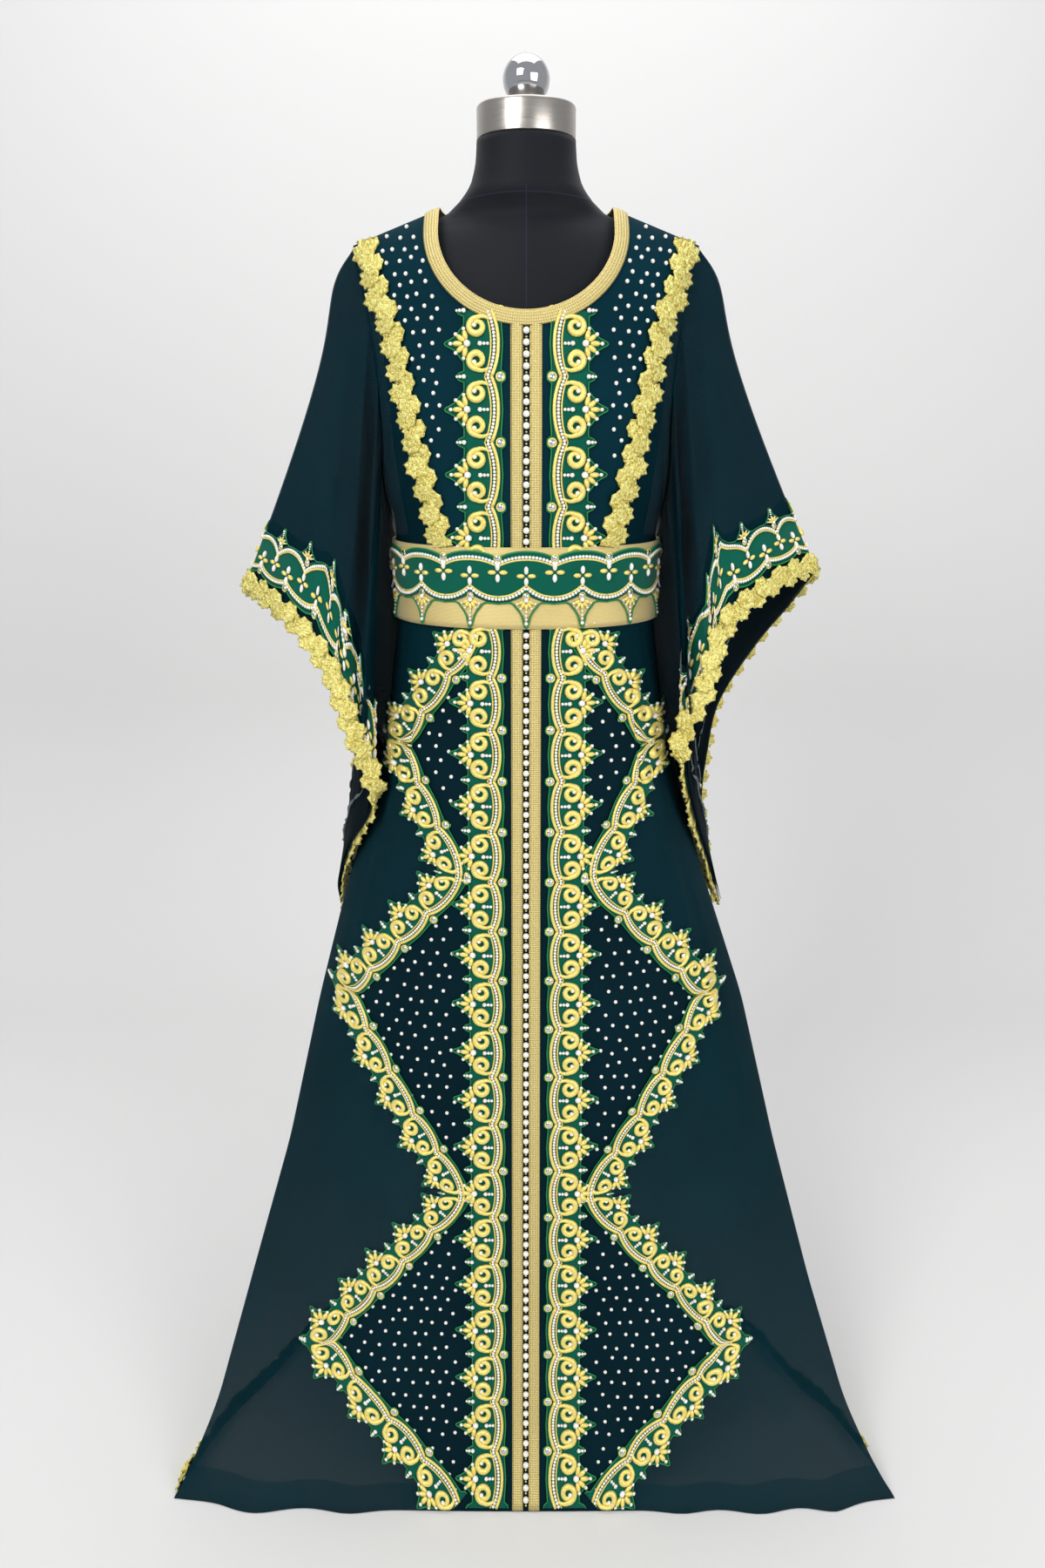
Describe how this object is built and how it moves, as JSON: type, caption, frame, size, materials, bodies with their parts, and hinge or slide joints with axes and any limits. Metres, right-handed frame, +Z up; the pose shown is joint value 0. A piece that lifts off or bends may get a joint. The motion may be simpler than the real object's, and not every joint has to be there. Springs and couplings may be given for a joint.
{
  "type": "moroccan kaftan on dress form",
  "caption": "Long flared kaftan with wide open sleeves, zigzag embroidered skirt and its own belt, worn by a limbless dress form on a pole stand.",
  "frame": {"origin": "on the floor, in the middle of the stand base's underside", "axes": "+Z up; -Y towards the wearer's front; +X towards the wearer's left"},
  "size_m": [0.881, 0.5001, 1.6325],
  "materials": {
    "sheer_chiffon": "sheer teal chiffon, matte, soft folds",
    "chest_cloth": "deep teal crepe set with small stones",
    "inlay_cloth": "darker teal crepe set with small stones",
    "gold_braid": "coarse metallic gold braid",
    "rosette_gold": "sequinned lemon gold rosette trim",
    "green_satin": "green satin ground with gold cord embroidery, pearls and mirrors",
    "belt_satin": "matte gold satin",
    "pearl": "white pearl beads",
    "form_jersey": "black jersey over the form",
    "black_metal": "satin black",
    "brushed_steel": "brushed",
    "chrome": "polished"
  },
  "bodies": {
    "root": {"bodice_back": "sheer_chiffon", "bodice_side_left": "sheer_chiffon", "bodice_side_right": "sheer_chiffon", "skirt_side_left": "sheer_chiffon", "skirt_side_right": "sheer_chiffon", "skirt_back": "sheer_chiffon", "sleeve_left": "sheer_chiffon", "sleeve_right": "sheer_chiffon", "bodice_front": "chest_cloth", "skirt_inlay": "inlay_cloth", "neckband": "gold_braid", "bodice_braid_left": "gold_braid", "bodice_braid_right": "gold_braid", "skirt_braid_left": "gold_braid", "skirt_braid_right": "gold_braid", "princess_trim_left": "rosette_gold", "princess_trim_right": "rosette_gold", "cuff_trim_left": "rosette_gold", "cuff_trim_right": "rosette_gold", "back_hem_trim": "rosette_gold", "bodice_band_left": "green_satin", "bodice_band_right": "green_satin", "skirt_band_left": "green_satin", "skirt_band_right": "green_satin", "zigzag_border_left": "green_satin", "zigzag_border_right": "green_satin", "cuff_band_left": "green_satin", "cuff_band_right": "green_satin", "belt_applique": "green_satin", "belt": "belt_satin", "bodice_beads": "pearl", "skirt_beads": "pearl", "form_torso": "form_jersey", "form_base": "black_metal", "form_neck_cap": "brushed_steel", "form_pole": "brushed_steel", "form_finial": "chrome"}
  },
  "joints": []
}
